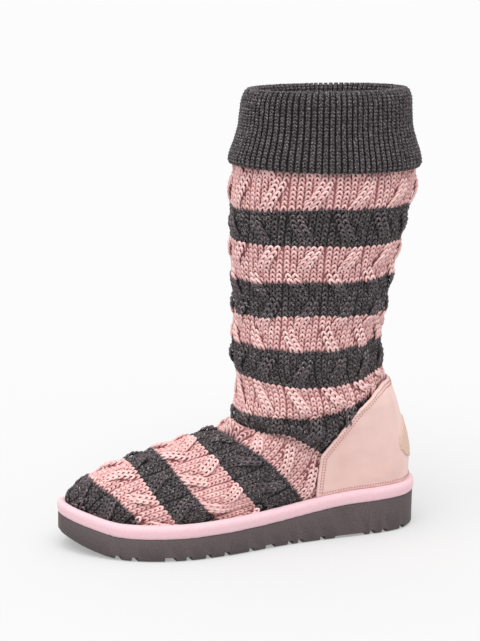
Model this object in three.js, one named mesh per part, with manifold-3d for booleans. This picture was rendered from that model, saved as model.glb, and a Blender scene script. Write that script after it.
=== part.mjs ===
// Knit boot, left foot: moulded outsole, suede rand, insole, hollow knitted upper, suede heel
// counter, plain heel patch and a turned-down rib cuff.
// Millimetres. Z is up, the toe points to -Y, the outer side of the foot is +X.
// The origin lies on the floor, under the middle of the sole's length.

import * as THREE from "three";
import { mergeVertices } from "three/addons/utils/BufferGeometryUtils.js";
import Module from "manifold-3d";

const wasm = await Module();
wasm.setup();

// Driving sizes of the last and of the sole
const soleLength = 272;
const ballWidth = 98.5;
const heelWidth = 74.5;
const heelStack = 25.5;
const forefootStack = 16;
const toeStack = 25.6;
const toeSpring = 12.5;
const instepHeight = 85;

// Driving sizes of the leg
const bootHeight = 323.5;
const legDepth = 113;
const legWidth = 94;

// Walls, gaps and small parts
const clearance = 0.3;
const nesting = 0.5;
const upperWall = 3;
const upperSwell = 2.2;
const randHeight = 9.6;
const randDepth = 5.6;
const randBulge = 0.5;
const insoleThickness = 5;
const insoleGap = 1.4;
const counterWall = 2;
const patchWall = 1.2;
const patchWidth = 63;
const patchHeight = 32;
const patchUp = 66;
const cuffHeight = 55.5;
const cuffWall = 3.4;
const cuffLap = 10.5;
const grooveDepth = 3;
const wideGroove = 8;
const narrowGroove = 4.2;
const archCut = 2;

// A smooth line through the rows of a table: cubic pieces that keep to the rows' own ups and downs
function through(rows, at, value) {
  const slopes = rows.slice(1).map((row, i) => (value(row) - value(rows[i])) / (at(row) - at(rows[i])));
  const tangents = rows.map((row, i) => {
    const before = slopes[Math.max(i - 1, 0)];
    const after = slopes[Math.min(i, slopes.length - 1)];
    return before * after <= 0 ? 0 : (2 * before * after) / (before + after);
  });
  return (x) => {
    if (x <= at(rows[0])) return value(rows[0]);
    if (x >= at(rows.at(-1))) return value(rows.at(-1));
    const i = rows.findIndex((row) => at(row) >= x) - 1;
    const span = at(rows[i + 1]) - at(rows[i]);
    const t = (x - at(rows[i])) / span;
    const start = value(rows[i]) * (1 + 2 * t) * (1 - t) ** 2 + tangents[i] * span * t * (1 - t) ** 2;
    const finish = value(rows[i + 1]) * t * t * (3 - 2 * t) + tangents[i + 1] * span * t * t * (t - 1);
    return start + finish;
  };
}

function ease(x) {
  const t = Math.min(Math.max(x, 0), 1);
  return t * t * (3 - 2 * t);
}

function mix(a, b, share) {
  return a + (b - a) * share;
}

// One half of a rounded oval: a sine or cosine made fuller. A fullness of 2 leaves an ellipse.
function fuller(value, fullness) {
  return Math.sign(value) * Math.abs(value) ** (2 / fullness);
}

// Plan of the sole. along: share of the sole's length from the back of the heel. outer and inner:
// distance from the long axis to each edge, as a share of the heel's or the ball's width.
const planRows = [
  { along: 0, outer: 0, inner: 0, of: heelWidth },
  { along: 0.011, outer: 0.19, inner: 0.19, of: heelWidth },
  { along: 0.037, outer: 0.335, inner: 0.335, of: heelWidth },
  { along: 0.081, outer: 0.445, inner: 0.445, of: heelWidth },
  { along: 0.154, outer: 0.497, inner: 0.497, of: heelWidth },
  { along: 0.294, outer: 0.51, inner: 0.483, of: heelWidth },
  { along: 0.412, outer: 0.405, inner: 0.345, of: ballWidth },
  { along: 0.522, outer: 0.457, inner: 0.375, of: ballWidth },
  { along: 0.618, outer: 0.497, inner: 0.436, of: ballWidth },
  { along: 0.691, outer: 0.507, inner: 0.482, of: ballWidth },
  { along: 0.754, outer: 0.487, inner: 0.507, of: ballWidth },
  { along: 0.816, outer: 0.436, inner: 0.497, of: ballWidth },
  { along: 0.882, outer: 0.34, inner: 0.436, of: ballWidth },
  { along: 0.934, outer: 0.223, inner: 0.355, of: ballWidth },
  { along: 0.971, outer: 0.112, inner: 0.274, of: ballWidth },
  { along: 0.993, outer: 0.01, inner: 0.183, of: ballWidth },
  { along: 1, outer: -0.071, inner: 0.071, of: ballWidth },
];
// The rows are joined by turn, not by length, so that both ends of the plan are round.
const turnAt = (along) => Math.acos(1 - 2 * along);
const planOuter = through(planRows, (row) => turnAt(row.along), (row) => row.outer * row.of);
const planInner = through(planRows, (row) => turnAt(row.along), (row) => -row.inner * row.of);

// Side of the sole. top: height of its upper edge. under: how far its underside clears the floor.
const stackRows = [
  { along: 0, top: 1, of: heelStack, under: 0.1 },
  { along: 0.03, top: 1, of: heelStack, under: 0 },
  { along: 0.22, top: 0.975, of: heelStack, under: 0 },
  { along: 0.48, top: 1.13, of: forefootStack, under: 0 },
  { along: 0.7, top: 1.01, of: forefootStack, under: 0 },
  { along: 0.84, top: 1, of: forefootStack, under: 0 },
  { along: 0.88, top: 1.02, of: forefootStack, under: 0.03 },
  { along: 0.94, top: 0.79, of: toeStack, under: 0.36 },
  { along: 0.975, top: 0.9, of: toeStack, under: 0.7 },
  { along: 1, top: 1, of: toeStack, under: 1 },
];
const soleTop = through(stackRows, (row) => row.along * soleLength, (row) => row.top * row.of);
const soleUnder = through(stackRows, (row) => row.along * soleLength, (row) => row.under * toeSpring);

// The sole's edge moved inward: matching points of the outer and the inner side, heel to toe
function insetPlan(inset, count) {
  const turns = Array.from({ length: count + 1 }, (unused, i) => (i / count) * Math.PI);
  const along = (turn) => ((1 - Math.cos(turn)) / 2) * soleLength;
  const outer = turns.map((turn) => [planOuter(turn), along(turn)]);
  const inner = turns.map((turn) => [planInner(turn), along(turn)]);
  const loop = [...outer, ...inner.slice(1, -1).reverse()];
  const moved = loop.map((point, i) => {
    const before = loop[(i + loop.length - 1) % loop.length];
    const after = loop[(i + 1) % loop.length];
    const run = Math.hypot(after[0] - before[0], after[1] - before[1]);
    const normalX = (after[1] - before[1]) / run;
    const normalS = -(after[0] - before[0]) / run;
    return [point[0] - normalX * inset, point[1] - normalS * inset];
  });
  return {
    outer: moved.slice(0, count + 1),
    inner: [moved[0], ...moved.slice(count + 1).reverse(), moved[count]],
  };
}

// Distance of one side of an inset plan from the long axis, at a place along the sole
function edgeLine(points) {
  return (s) => {
    if (s <= points[0][1]) return points[0][0];
    if (s >= points.at(-1)[1]) return points.at(-1)[0];
    const i = points.findIndex((point) => point[1] >= s);
    const t = (s - points[i - 1][1]) / (points[i][1] - points[i - 1][1]);
    return mix(points[i - 1][0], points[i][0], t);
  };
}

// Ridge of the vamp: height of the upper's top line, from the instep to the toe
const ridgeRows = [
  { along: 0, height: 2.4 },
  { along: 0.22, height: 2.3 },
  { along: 0.33, height: 2.1 },
  { along: 0.404, height: 1.8 },
  { along: 0.46, height: 1.47 },
  { along: 0.5, height: 1.219 },
  { along: 0.522, height: 1.087 },
  { along: 0.552, height: 0.996 },
  { along: 0.618, height: 0.932 },
  { along: 0.684, height: 0.866 },
  { along: 0.75, height: 0.791 },
  { along: 0.816, height: 0.730 },
  { along: 0.882, height: 0.651 },
  { along: 0.92, height: 0.597 },
  { along: 0.95, height: 0.540 },
  { along: 0.968, height: 0.503 },
  { along: 0.98, height: 0.428 },
  { along: 0.987, height: 0.327 },
];
const ridge = through(ridgeRows, (row) => row.along * soleLength, (row) => row.height * instepHeight);

// Level sections of heel and leg. up: share of the boot's height. back and front: shares of the
// leg's depth from the back of the heel. width: share of the leg's width.
const legRows = [
  { up: 0.074, back: 0.06, front: 1.331, width: 0.34 },
  { up: 0.105, back: 0.06, front: 1.331, width: 0.38 },
  { up: 0.155, back: 0.056, front: 1.331, width: 0.6 },
  { up: 0.198, back: 0.076, front: 1.331, width: 0.745 },
  { up: 0.241, back: 0.116, front: 1.325, width: 0.82 },
  { up: 0.272, back: 0.152, front: 1.288, width: 0.89 },
  { up: 0.297, back: 0.182, front: 1.248, width: 0.935 },
  { up: 0.318, back: 0.215, front: 1.236, width: 0.96 },
  { up: 0.343, back: 0.275, front: 1.238, width: 0.975 },
  { up: 0.374, back: 0.332, front: 1.24, width: 0.98 },
  { up: 0.402, back: 0.36, front: 1.243, width: 0.985 },
  { up: 0.427, back: 0.364, front: 1.248, width: 0.995 },
  { up: 0.448, back: 0.35, front: 1.252, width: 1 },
  { up: 0.485, back: 0.3, front: 1.252, width: 1.02 },
  { up: 0.522, back: 0.262, front: 1.256, width: 1.035 },
  { up: 0.594, back: 0.218, front: 1.272, width: 1.065 },
  { up: 0.667, back: 0.17, front: 1.282, width: 1.11 },
  { up: 0.702, back: 0.151, front: 1.284, width: 1.145 },
  { up: 0.739, back: 0.126, front: 1.284, width: 1.185 },
  { up: 0.773, back: 0.09, front: 1.287, width: 1.222 },
  { up: 0.8, back: 0.073, front: 1.283, width: 1.225 },
  { up: 0.826, back: 0.08, front: 1.268, width: 1.2 },
  { up: 0.86, back: 0.1, front: 1.24, width: 1.15 },
  { up: 0.9, back: 0.144, front: 1.2, width: 1.074 },
  { up: 0.943, back: 0.182, front: 1.166, width: 1.01 },
  { up: 0.977, back: 0.188, front: 1.151, width: 0.994 },
  { up: 1, back: 0.187, front: 1.143, width: 0.985 },
];
const heelSwell = randDepth + nesting - upperSwell;
const legBack = through(legRows, (row) => row.up * bootHeight, (row) => row.back * legDepth);
const legFront = through(legRows, (row) => row.up * bootHeight, (row) => row.front * legDepth);
const legHalfWidth = through(legRows, (row) => row.up * bootHeight, (row) => (row.width * legWidth) / 2);

// Fullness of the rounded sections
const legRoundness = 2.2;
const vaultRise = 2.1;
const vaultFall = 1.9;
const blendSharpness = 8;

// The foot leans to its own side up to this share of the instep's height
const leanShare = 0.6;

// Steps round a plan where it is read as a smooth line
const finePlanSteps = 160;

// The boot's body, seen from the side: at a place along the sole and a height, the distances of the
// outer and the inner wall from the mid plane, or undefined outside the boot. inset moves the
// whole face inward by that much, and a negative one moves it outward.
function bootBody(inset) {
  const seat = insetPlan(randDepth + nesting + inset, finePlanSteps);
  const full = insetPlan(heelSwell + inset, finePlanSteps);
  const ends = (plan) => [plan.outer[0][1], plan.outer.at(-1)[1]];
  const edges = (plan) => [edgeLine(plan.outer), edgeLine(plan.inner)];
  return (s, z) => {
    const base = soleTop(s) + randHeight / 2;
    const rising = ease((z - heelStack - randHeight) / randHeight);
    const heelShift = (legBack(z) - heelSwell) * rising;
    const place = s - heelShift * (1 - ease(s / heelWidth));
    const swell = ease((z - soleTop(s) - randHeight) / randHeight);
    const [heelEnd, toeEnd] = ends(seat).map((end, i) => mix(end, ends(full)[i], swell));
    const share = (place - heelEnd) / (toeEnd - heelEnd);
    const [seatEdges, fullEdges] = [seat, full].map((plan) => {
      const at = mix(...ends(plan), share);
      return edges(plan).map((edge) => edge(at));
    });
    const outerEdge = mix(seatEdges[0], fullEdges[0], swell);
    const innerEdge = mix(seatEdges[1], fullEdges[1], swell);
    const spread = share > 0 && share < 1 ? (outerEdge - innerEdge) / 2 : 0;
    const middle = (outerEdge + innerEdge) / 2;
    const rise = Math.max(z - base, 0) / (ridge(s) - inset - base);
    const vault = rise < 1 && rise >= 0 ? spread * (1 - rise ** vaultRise) ** (1 / vaultFall) : 0;
    const back = legBack(z) + inset;
    const front = legFront(z) - inset;
    const swing = Math.abs((2 * s - back - front) / (front - back));
    const halfWidth = legHalfWidth(z) - inset;
    const leg = swing < 1 ? halfWidth * (1 - swing ** legRoundness) ** (1 / legRoundness) : 0;
    if (vault <= 0 && leg <= 0) return undefined;
    const half = (vault ** blendSharpness + leg ** blendSharpness) ** (1 / blendSharpness);
    const lean = middle * (1 - ease((z - instepHeight * leanShare) / instepHeight));
    return { outer: lean + half, inner: lean - half };
  };
}

// The upper ends at the toe where the rand's seat ends, and above inside the cuff
const seatLength = soleLength - randDepth - nesting;
const collarTop = bootHeight - cuffHeight + cuffLap;
const collarUp = collarTop / bootHeight;

// Courses of the knit that part the stripes, toe to collar. Each is a straight line in the side
// view, from the boot's front or ridge to its underside or back. Shares of the seat's length and
// of the boot's height.
const courseRows = [
  { name: "toe end", rings: 7, frontAlong: 1.0035, frontUp: 0.125, rearAlong: 0.9943, rearUp: 0.043 },
  { name: "charcoal toe", rings: 3, frontAlong: 0.9513, frontUp: 0.158, rearAlong: 0.864, rearUp: 0.04 },
  { name: "pink forefoot", rings: 3, frontAlong: 0.843, frontUp: 0.192, rearAlong: 0.741, rearUp: 0.027 },
  { name: "charcoal forefoot", rings: 3, frontAlong: 0.771, frontUp: 0.213, rearAlong: 0.606, rearUp: 0.025 },
  { name: "pink instep", rings: 3, frontAlong: 0.666, frontUp: 0.244, rearAlong: 0.455, rearUp: 0.025 },
  { name: "charcoal instep", rings: 4, frontAlong: 0.594, frontUp: 0.26, rearAlong: 0.309, rearUp: 0.025 },
  { name: "pink puff", rings: 3, frontAlong: 0.558, frontUp: 0.274, rearAlong: 0.133, rearUp: 0.025 },
  { name: "heel corner", rings: 3, frontAlong: 0.547, frontUp: 0.284, rearAlong: 0.01, rearUp: 0.045 },
  { name: "heel", rings: 3, frontAlong: 0.542, frontUp: 0.292, rearAlong: 0.02, rearUp: 0.15 },
  { name: "charcoal roll", rings: 3, frontAlong: 0.537, frontUp: 0.3, rearAlong: 0.051, rearUp: 0.24 },
  { name: "counter top", rings: 3, frontAlong: 0.534, frontUp: 0.327, rearAlong: 0.102, rearUp: 0.325 },
  { name: "pink ankle", rings: 4, frontAlong: 0.537, frontUp: 0.365, rearAlong: 0.113, rearUp: 0.375 },
  { name: "charcoal fold", rings: 3, frontAlong: 0.532, frontUp: 0.443, rearAlong: 0.102, rearUp: 0.45 },
  { name: "pink shin", rings: 2, frontAlong: 0.532, frontUp: 0.514, rearAlong: 0.092, rearUp: 0.52 },
  { name: "charcoal shin", rings: 2, frontAlong: 0.536, frontUp: 0.59, rearAlong: 0.082, rearUp: 0.597 },
  { name: "pink calf", rings: 2, frontAlong: 0.542, frontUp: 0.675, rearAlong: 0.072, rearUp: 0.681 },
  { name: "charcoal calf", rings: 2, frontAlong: 0.547, frontUp: 0.746, rearAlong: 0.051, rearUp: 0.761 },
  { name: "under the cuff", rings: 2, frontAlong: 0.542, frontUp: 0.81, rearAlong: 0.031, rearUp: 0.81 },
  { name: "collar end", rings: 0, frontAlong: 0.522, frontUp: collarUp, rearAlong: 0.041, rearUp: collarUp },
];

// The line of a course at any share of the way from the toe to the collar. The toe's end moves
// with an inset of the face.
function courseLine(row, inset) {
  const order = courseRows.map((unused, i) => i);
  const read = (column, size) => through(order, (i) => i, (i) => courseRows[i][column] * size)(row);
  const front = [read("frontAlong", seatLength), read("frontUp", bootHeight)];
  const rear = [read("rearAlong", seatLength), read("rearUp", bootHeight)];
  const back = inset * Math.max(1 - row, 0);
  return (t) => [mix(front[0], rear[0], t) - back, mix(front[1], rear[1], t)];
}

// One ring of the boot's face along a course: down the outer side, then up the inner side
const ringSteps = 14;
const searchStep = 0.02;
const halvings = 30;
const edgeMargin = 1e-6;
function bodyRing(body, line, floorDrop) {
  const half = (t) => {
    const [s, z] = line(t);
    return z < soleTop(s) - floorDrop ? undefined : body(s, z);
  };
  const end = (direction) => {
    let inside = 0.5;
    let outside = 0.5;
    while (half(outside) !== undefined) {
      inside = outside;
      outside += direction * searchStep;
    }
    for (let i = 0; i < halvings; i++) {
      const middle = (inside + outside) / 2;
      if (half(middle) === undefined) outside = middle;
      else inside = middle;
    }
    return inside - direction * edgeMargin;
  };
  const front = end(-1);
  const rear = end(1);
  const spots = Array.from({ length: ringSteps + 1 }, (unused, i) => {
    const t = mix(front, rear, (1 - Math.cos((i / ringSteps) * Math.PI)) / 2);
    return { place: line(t), width: half(t) };
  });
  const outer = spots.map((spot) => [spot.width.outer, ...spot.place]);
  const inner = spots.map((spot) => [spot.width.inner, ...spot.place]);
  return [...outer, ...inner.slice(1).reverse()];
}

// Places of the rings along the rows of courses, drawn together at the toe's end
function courseSteps() {
  const steps = courseRows.flatMap((row, i) => {
    const crowding = i === 0 ? 1.6 : 1;
    return Array.from({ length: row.rings }, (unused, k) => i + (k / row.rings) ** crowding);
  });
  return [...steps, courseRows.length - 1];
}

// A solid through rings of points (x, along, up). Its ends are closed by strips between matching
// points of the two sides, or it runs round into its own first ring.
function loft(rings, endless) {
  const size = rings[0].length;
  const positions = rings.flat().flatMap(([x, s, z]) => [x, soleLength / 2 - s, z]);
  const faces = [];
  const quad = (a, b, c, d) => faces.push(a, b, c, a, c, d);
  const last = endless ? rings.length : rings.length - 1;
  for (let i = 0; i < last; i++) {
    const here = i * size;
    const next = ((i + 1) % rings.length) * size;
    for (let k = 0; k < size; k++) {
      const k2 = (k + 1) % size;
      quad(here + k, here + k2, next + k2, next + k);
    }
  }
  if (!endless) {
    const end = (rings.length - 1) * size;
    for (let k = 0; k < size / 2 - 1; k++) {
      const far = (size - k) % size;
      const nearFar = size - k - 1;
      quad(far, nearFar, k + 1, k);
      quad(end + k, end + k + 1, end + nearFar, end + far);
    }
  }
  const geometry = new THREE.BufferGeometry();
  geometry.setAttribute("position", new THREE.Float32BufferAttribute(positions, 3));
  geometry.setIndex(faces);
  return solid(geometry);
}

// A closed surface as a solid, with welded corners, no empty faces and its faces outward
function solid(geometry) {
  geometry.deleteAttribute("normal");
  geometry.deleteAttribute("uv");
  const welded = mergeVertices(geometry, 1e-4);
  const points = welded.attributes.position.array;
  const faces = [];
  let volume = 0;
  for (let i = 0; i < welded.index.count; i += 3) {
    const [a, b, c] = [0, 1, 2].map((k) => welded.index.getX(i + k));
    if (a === b || b === c || c === a) continue;
    faces.push(a, b, c);
    const [p, q, r] = [a, b, c].map((k) => new THREE.Vector3().fromArray(points, k * 3));
    volume += p.dot(q.cross(r));
  }
  if (volume < 0) faces.reverse();
  const mesh = new wasm.Mesh({ numProp: 3, vertProperties: points, triVerts: Uint32Array.from(faces) });
  return new wasm.Manifold(mesh);
}

// A block that fills an outline of the side view (along, up) right across the boot
const across = 100;
function sideBlock(outline) {
  const shape = new THREE.Shape(outline.map(([s, z]) => new THREE.Vector2(s, z)));
  const geometry = new THREE.ExtrudeGeometry(shape, { depth: 2 * across, bevelEnabled: false });
  const rear = soleLength / 2;
  const turned = new THREE.Matrix4().set(0, 0, 1, -across, -1, 0, 0, rear, 0, 1, 0, 0, 0, 0, 0, 1);
  return solid(geometry.applyMatrix4(turned));
}

// Points of the sole's upper edge line in the side view, raised by some height
const soleLineSteps = 30;
function soleLine(raise, from, to) {
  return Array.from({ length: soleLineSteps + 1 }, (unused, i) => {
    const s = mix(from, to, i / soleLineSteps);
    return [s, soleTop(s) + raise];
  });
}

function named(name, form, colour, roughness) {
  const { vertProperties, triVerts } = form.getMesh();
  const geometry = new THREE.BufferGeometry();
  geometry.setAttribute("position", new THREE.BufferAttribute(vertProperties, 3));
  geometry.setIndex(new THREE.BufferAttribute(triVerts, 1));
  geometry.computeVertexNormals();
  const material = new THREE.MeshStandardMaterial({ color: colour, roughness, metalness: 0 });
  const mesh = new THREE.Mesh(geometry, material);
  mesh.name = name;
  return mesh;
}

// Outsole: a block of the sole's plan with eased edges, grooved across underneath
const planSteps = 32;
function planLoop(inset, height) {
  const plan = insetPlan(inset, planSteps);
  const loop = [...plan.outer, ...plan.inner.slice(1).reverse()];
  return loop.map(([x, s]) => [x, s, height(s)]);
}
const edgeRound = 1.5;
const topEdgeRound = 0.6;
const treadRows = [
  { along: 0.074, width: narrowGroove },
  { along: 0.134, width: narrowGroove },
  { along: 0.171, width: narrowGroove },
  { along: 0.320, width: narrowGroove },
  { along: 0.386, width: narrowGroove },
  { along: 0.417, width: narrowGroove },
  { along: 0.478, width: wideGroove },
  { along: 0.535, width: narrowGroove },
  { along: 0.608, width: narrowGroove },
  { along: 0.660, width: narrowGroove },
  { along: 0.713, width: narrowGroove },
  { along: 0.761, width: wideGroove },
  { along: 0.847, width: narrowGroove },
  { along: 0.884, width: narrowGroove },
];
const archFrom = 0.191 * soleLength;
const archTo = 0.283 * soleLength;

function outsole() {
  const block = loft([
    planLoop(edgeRound, soleUnder),
    planLoop(0, (s) => soleUnder(s) + edgeRound),
    planLoop(0, (s) => soleTop(s) - topEdgeRound),
    planLoop(topEdgeRound, soleTop),
  ]);
  const cut = (from, to, depth) => {
    const roof = soleUnder((from + to) / 2) + depth;
    return sideBlock([[from, -across], [to, -across], [to, roof], [from, roof]]);
  };
  const grooves = treadRows.map((row) => {
    const middle = row.along * soleLength;
    return cut(middle - row.width / 2, middle + row.width / 2, grooveDepth);
  });
  const arch = cut(archFrom, archTo, archCut);
  return [...grooves, arch].reduce((form, groove) => form.subtract(groove), block);
}

// Rand: a rounded band on the sole's edge. in: share of its depth from the sole's edge, up: share
// of its height.
const randRows = [
  { in: 1, up: 0 },
  { in: 0.12, up: 0 },
  { in: 0, up: 0.12 },
  { in: 0, up: 0.62, bulge: 1 },
  { in: 0.1, up: 0.86, bulge: 1 },
  { in: 0.4, up: 1 },
  { in: 0.8, up: 0.97 },
  { in: 1, up: 0.82 },
];
function rand() {
  const rings = randRows.map((row) => {
    const inset = row.in * randDepth - (row.bulge ? randBulge : 0);
    return planLoop(inset, (s) => soleTop(s) + clearance + row.up * (randHeight - clearance));
  });
  return loft(rings, true);
}

// Insole: fills the upper's floor inside its wall
function insole() {
  const inset = randDepth + upperWall + insoleGap;
  const rounding = insoleThickness / 5;
  return loft([
    planLoop(inset, (s) => soleTop(s) + clearance),
    planLoop(inset, (s) => soleTop(s) + clearance + insoleThickness - rounding),
    planLoop(inset + rounding, (s) => soleTop(s) + clearance + insoleThickness),
  ]);
}

// Slouch folds of the ankle, laid on the face as soft swells and troughs. front and back: height of
// the fold's line there as a share of the boot's height. proud: how far it stands out, in walls.
const foldRows = [
  { front: 0.408, back: 0.42, proud: 0.75, half: 8 },
  { front: 0.34, back: 0.37, proud: -0.75, half: 9 },
  { front: 0.29, back: 0.34, proud: 0.75, half: 4.5 },
  { front: 0.27, back: 0.3, proud: -0.8, half: 3.5 },
];
// The folds fade in from heel to shin, over these shares of the leg's depth
const foldStart = 0.2;
const foldReach = 0.8;
const shinPlace = 1.24;
function foldHeight(s, z) {
  const forward = ease((s / legDepth - foldStart) / foldReach);
  return foldRows.reduce((sum, row) => {
    const line = mix(row.back, row.front, s / (shinPlace * legDepth)) * bootHeight;
    return sum + row.proud * upperWall * Math.exp(-(((z - line) / row.half) ** 2)) * forward;
  }, 0);
}

// The boot's body as a solid between the courses, moved inward by an inset
const floorDepth = 6;
function bodySolid(inset, top, drop) {
  const body = bootBody(inset);
  const rings = courseSteps().map((row) => bodyRing(body, courseLine(row, inset), floorDepth + drop));
  if (top > 0) {
    const above = (t) => [mix(legFront(collarTop), legBack(collarTop), t), collarTop + top];
    rings.push(bodyRing(body, above, floorDepth + drop));
  }
  return loft(fold(rings));
}

// Moves each point of the rings along the face's own normal by the height of the folds
function fold(rings) {
  const vector = (point) => new THREE.Vector3(...point);
  return rings.map((ring, i) => ring.map((point, k) => {
    const height = foldHeight(point[1], point[2]);
    if (Math.abs(height) < 0.01) return point;
    const along = vector(ring[(k + 2) % ring.length]).sub(vector(ring.at(k - 2)));
    const up = vector((rings[i + 1] ?? ring)[k]).sub(vector((rings[i - 1] ?? ring)[k]));
    const normal = along.cross(up).normalize();
    return vector(point).addScaledVector(normal, -height).toArray();
  }));
}

function upper() {
  const below = sideBlock([
    [-across, -across],
    [soleLength + across, -across],
    [soleLength + across, toeStack + clearance],
    ...soleLine(clearance, 0, soleLength).reverse(),
    [-across, heelStack + clearance],
  ]);
  const wall = bodySolid(0, 0, 0).subtract(bodySolid(upperWall, upperWall, upperWall));
  return wall.subtract(below);
}

// Heel counter: a shell over the upper, upright at the front, its top edge rising to the back.
// along: share of the sole's length. up: share of the boot's height.
const counterFront = 0.336 * soleLength;
const counterRows = [
  { along: 0.333, up: 0.198 },
  { along: 0.285, up: 0.248 },
  { along: 0.232, up: 0.304 },
  { along: 0.18, up: 0.336 },
  { along: 0.14, up: 0.349 },
  { along: -0.05, up: 0.353 },
];
function heelCounter() {
  const shell = bodySolid(-nesting - counterWall, 0, 0).subtract(bodySolid(-nesting, 0, upperWall));
  const region = sideBlock([
    ...soleLine(randHeight + clearance, -heelStack, counterFront),
    ...counterRows.map((row) => [row.along * soleLength, row.up * bootHeight]),
  ]);
  return shell.intersect(region);
}

// Heel patch: a plain rounded label that wraps round the back of the counter
const patchFullness = 2.6;
const patchSteps = 28;
function heelPatch() {
  const under = counterWall + nesting + clearance;
  const shell = bodySolid(-under - patchWall, 0, 0).subtract(bodySolid(-under, 0, upperWall));
  const outline = Array.from({ length: patchSteps }, (unused, i) => {
    const turn = (i / patchSteps) * 2 * Math.PI;
    const x = (patchWidth / 2) * fuller(Math.cos(turn), patchFullness);
    const z = patchUp + (patchHeight / 2) * fuller(Math.sin(turn), patchFullness);
    return new THREE.Vector2(x, z);
  });
  const shape = new THREE.Shape(outline);
  const geometry = new THREE.ExtrudeGeometry(shape, { depth: heelWidth, bevelEnabled: false });
  const rear = (soleLength - heelWidth) / 2;
  const turned = new THREE.Matrix4().set(1, 0, 0, 0, 0, 0, 1, rear, 0, 1, 0, 0, 0, 0, 0, 1);
  return shell.intersect(solid(geometry.applyMatrix4(turned)));
}

// Cuff: the collar turned down, cut across. down: share of the cuff's height below the rim. out:
// distance outside the leg's face, in cuff walls.
const cuffRows = [
  { down: 0.992, out: 0.35 },
  { down: 1, out: 0.7 },
  { down: 0.985, out: 1.1 },
  { down: 0.93, out: 1.24 },
  { down: 0.82, out: 1.32 },
  { down: 0.69, out: 1.27 },
  { down: 0.48, out: 1.44 },
  { down: 0.28, out: 1.9 },
  { down: 0.135, out: 1.95 },
  { down: 0.05, out: 1.45 },
  { down: 0, out: 0.32 },
  { down: 0.04, out: -0.65 },
  { down: 0.135, out: -1.05 },
  { down: 0.33, out: -1 },
  { down: 0.58, out: -1 },
  { down: 0.805, out: -1 },
  { down: 0.805, out: 0 },
  { down: 0.58, out: 0 },
  { down: 0.33, out: 0 },
  { down: 0.16, out: 0.06 },
  { down: 0.125, out: 0.47 },
  { down: 0.16, out: 0.9 },
  { down: 0.28, out: 0.9 },
  { down: 0.48, out: 0.44 },
  { down: 0.69, out: 0.27 },
  { down: 0.82, out: 0.3 },
  { down: 0.93, out: 0.2 },
];
const cuffSteps = 28;
function cuff() {
  const rings = cuffRows.map((row) => {
    const z = bootHeight - row.down * cuffHeight;
    const out = row.out * cuffWall;
    const middle = (legBack(z) + legFront(z)) / 2;
    const halfDepth = (legFront(z) - legBack(z)) / 2 + out;
    const halfWidth = legHalfWidth(z) + out;
    return Array.from({ length: cuffSteps }, (unused, i) => {
      const turn = (i / cuffSteps) * 2 * Math.PI;
      const x = halfWidth * fuller(Math.cos(turn), legRoundness);
      return [x, middle + halfDepth * fuller(Math.sin(turn), legRoundness), z];
    });
  });
  return loft(rings, true);
}

const boot = new THREE.Group();
boot.add(
  named("outsole", outsole(), 0x5c5050, 0.8),
  named("rand", rand(), 0xf2d3d8, 0.75),
  named("insole", insole(), 0xe8e0d8, 0.9),
  named("upper", upper(), 0xd99a9c, 0.95),
  named("heel_counter", heelCounter(), 0xe9bfb4, 0.85),
  named("heel_patch", heelPatch(), 0xd2b496, 0.7),
  named("cuff", cuff(), 0x453c40, 0.95),
);

export default boot;
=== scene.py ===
# Knit boot, left foot, dressed for a studio picture: rib cuff, cable knit leg and foot in pink and
# charcoal stripes, suede heel counter and rand, foam sole. Object units are metres; the tables of
# the knit are in millimetres: "along" from the back of the heel, "up" from the floor.
import bpy
import math
import numpy as np
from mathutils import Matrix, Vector
from mathutils.bvhtree import BVHTree


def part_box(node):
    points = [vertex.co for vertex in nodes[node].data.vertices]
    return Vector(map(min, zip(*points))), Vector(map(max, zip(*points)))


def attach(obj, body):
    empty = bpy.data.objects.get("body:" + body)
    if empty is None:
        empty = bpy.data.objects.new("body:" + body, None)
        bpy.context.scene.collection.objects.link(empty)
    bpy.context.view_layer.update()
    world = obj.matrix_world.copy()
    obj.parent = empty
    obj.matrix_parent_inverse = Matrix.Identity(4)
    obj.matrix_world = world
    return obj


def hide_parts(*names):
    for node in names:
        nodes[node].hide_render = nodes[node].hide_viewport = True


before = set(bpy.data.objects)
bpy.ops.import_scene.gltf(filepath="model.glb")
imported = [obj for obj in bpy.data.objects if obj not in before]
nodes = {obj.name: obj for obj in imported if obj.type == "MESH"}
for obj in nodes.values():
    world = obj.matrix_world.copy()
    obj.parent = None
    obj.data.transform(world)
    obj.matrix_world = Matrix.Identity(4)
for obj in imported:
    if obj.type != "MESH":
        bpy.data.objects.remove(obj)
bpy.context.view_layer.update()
bpy.ops.object.select_all(action="DESELECT")

# Camera: outer side of the boot, turned a little to the toe and from a little above, with a long
# lens and the slight roll of the photo.
camera_data = bpy.data.cameras.new("camera")
camera_data.sensor_fit = "HORIZONTAL"
camera_data.sensor_width = 36.0
camera_data.lens = 125.25
camera_data.shift_x = -0.0181
camera_data.shift_y = -0.0183
camera = bpy.data.objects.new("camera", camera_data)
camera.location = (1.09722, -0.43552, 0.39078)
camera.rotation_euler = (1.381946, -0.016736, 1.19375)
bpy.context.scene.collection.objects.link(camera)
bpy.context.scene.camera = camera


# Floor: a plain sweep of pale studio paper under the boot, so wide that its end is out of sight.
# It gives a little light of its own, which makes it as pale as the surround.
PAPER_WIDTH = 400.0
PAPER_DROP = 0.0002


def srgb(red, green, blue):
    shares = [value / 255 for value in (red, green, blue)]
    linear = [s / 12.92 if s <= 0.04 else ((s + 0.055) / 1.055) ** 2.4 for s in shares]
    return (*linear, 1.0)


def new_material(name, roughness):
    material = bpy.data.materials.new(name)
    material.use_nodes = True
    shader = material.node_tree.nodes["Principled BSDF"]
    shader.inputs["Roughness"].default_value = roughness
    return material, material.node_tree.nodes, material.node_tree.links, shader


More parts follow.
